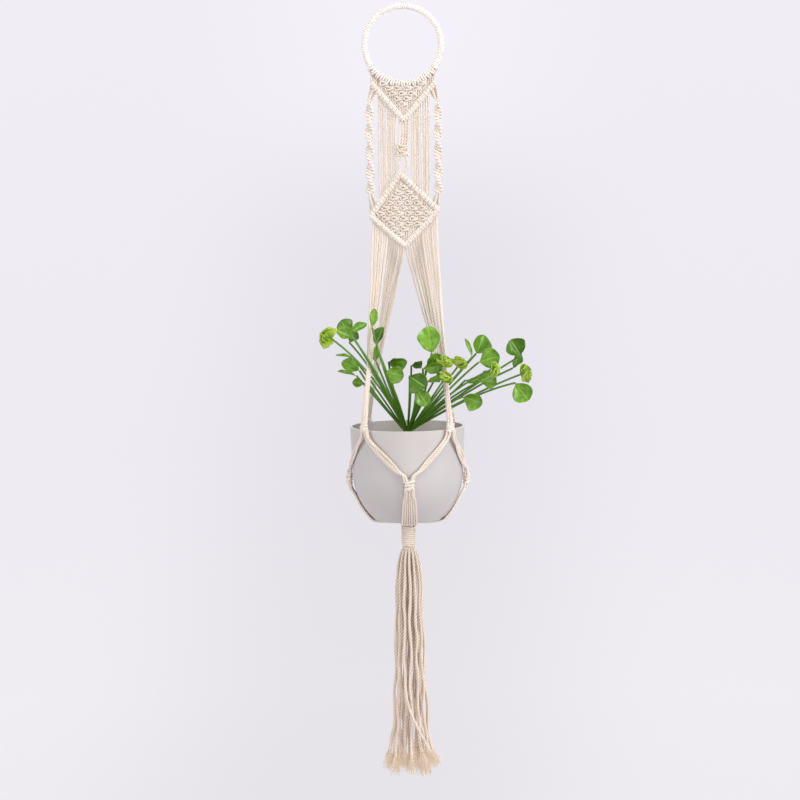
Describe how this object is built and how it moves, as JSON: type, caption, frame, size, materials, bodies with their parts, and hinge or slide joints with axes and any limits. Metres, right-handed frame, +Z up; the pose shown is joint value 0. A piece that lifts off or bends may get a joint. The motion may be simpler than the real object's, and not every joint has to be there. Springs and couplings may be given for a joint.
{
  "type": "hanging macrame planter",
  "caption": "Knotted cotton cord plant hanger on a wrapped ring, with a diamond panel, a four-way sling holding a pot and artificial plant, and a long tassel.",
  "frame": {"origin": "top of the ring's opening, where the ring bears on a hook", "axes": "+Z up along the hang, +X across the front, +Y towards the wall behind; the panel's face looks along -Y"},
  "size_m": [0.2797, 0.1696, 1.0519],
  "materials": {
    "cord": "three-ply twisted natural cotton",
    "wire": "welded galvanised wire",
    "pot": "moulded white plastic, satin",
    "foam": "dry planting foam, open cell",
    "stem": "moulded green plastic",
    "leaf": "pressed leaf film, veined",
    "bud": "ruffled lime leaf film"
  },
  "bodies": {
    "ring": {"hoop": "wire", "hoop_wrap": "cord", "larks_heads": "cord"},
    "panel": {"centre_cords_lower": "cord", "centre_cords_upper": "cord", "centre_knot": "cord", "diamond_cords": "cord", "diamond_hitches_lower_left": "cord", "diamond_hitches_lower_right": "cord", "diamond_hitches_upper_left": "cord", "diamond_hitches_upper_right": "cord", "diamond_holding_cords": "cord", "diamond_net": "cord", "header_cords": "cord", "header_hitches_left": "cord", "header_hitches_right": "cord", "header_holding_cords": "cord", "header_net": "cord", "panel_cords_left": "cord", "panel_cords_right": "cord", "side_leads_left": "cord", "side_leads_right": "cord", "side_spiral_left": "cord", "side_spiral_right": "cord", "side_tails_left": "cord", "side_tails_right": "cord"},
    "sling": {"bundle_back_left": "cord", "bundle_back_right": "cord", "bundle_front_left": "cord", "bundle_front_right": "cord", "collar_knot_back_left": "cord", "collar_knot_back_right": "cord", "collar_knot_front_left": "cord", "collar_knot_front_right": "cord", "gather_wrap": "cord", "gathered_cords": "cord", "legs_back_left": "cord", "legs_back_right": "cord", "legs_front_left": "cord", "legs_front_right": "cord", "net_knot_back": "cord", "net_knot_front": "cord", "net_knot_left": "cord", "net_knot_right": "cord", "planting_foam": "foam", "pot": "pot", "under_cords_back": "cord", "under_cords_front": "cord", "under_cords_left": "cord", "under_cords_right": "cord"},
    "plant": {"leaf_buds": "bud", "leaves_centre": "leaf", "leaves_left": "leaf", "leaves_right": "leaf", "plant_stem_base": "stem", "plant_stems": "stem"},
    "tassel": {"tassel_frayed_ends": "cord", "tassel_strands_inner": "cord", "tassel_strands_outer": "cord"}
  },
  "joints": [
    {"name": "panel_swing", "type": "hinge", "parent": "ring", "child": "panel", "pos_m": [0, 0, -0.104], "axis": [1, 0, 0], "range_deg": [-20, 20]},
    {"name": "sling_twist", "type": "hinge", "parent": "panel", "child": "sling", "pos_m": [0, 0, -0.4], "axis": [0, 0, 1], "range_deg": [-25, 25], "stiffness_Nm_per_rad": 0.01},
    {"name": "plant_lift", "type": "slide", "parent": "sling", "child": "plant", "axis": [0, 0, 1], "range_m": [0, 0.035]},
    {"name": "tassel_swing", "type": "hinge", "parent": "sling", "child": "tassel", "pos_m": [0, 0, -0.731], "axis": [1, 0, 0], "range_deg": [-20, 20]}
  ]
}
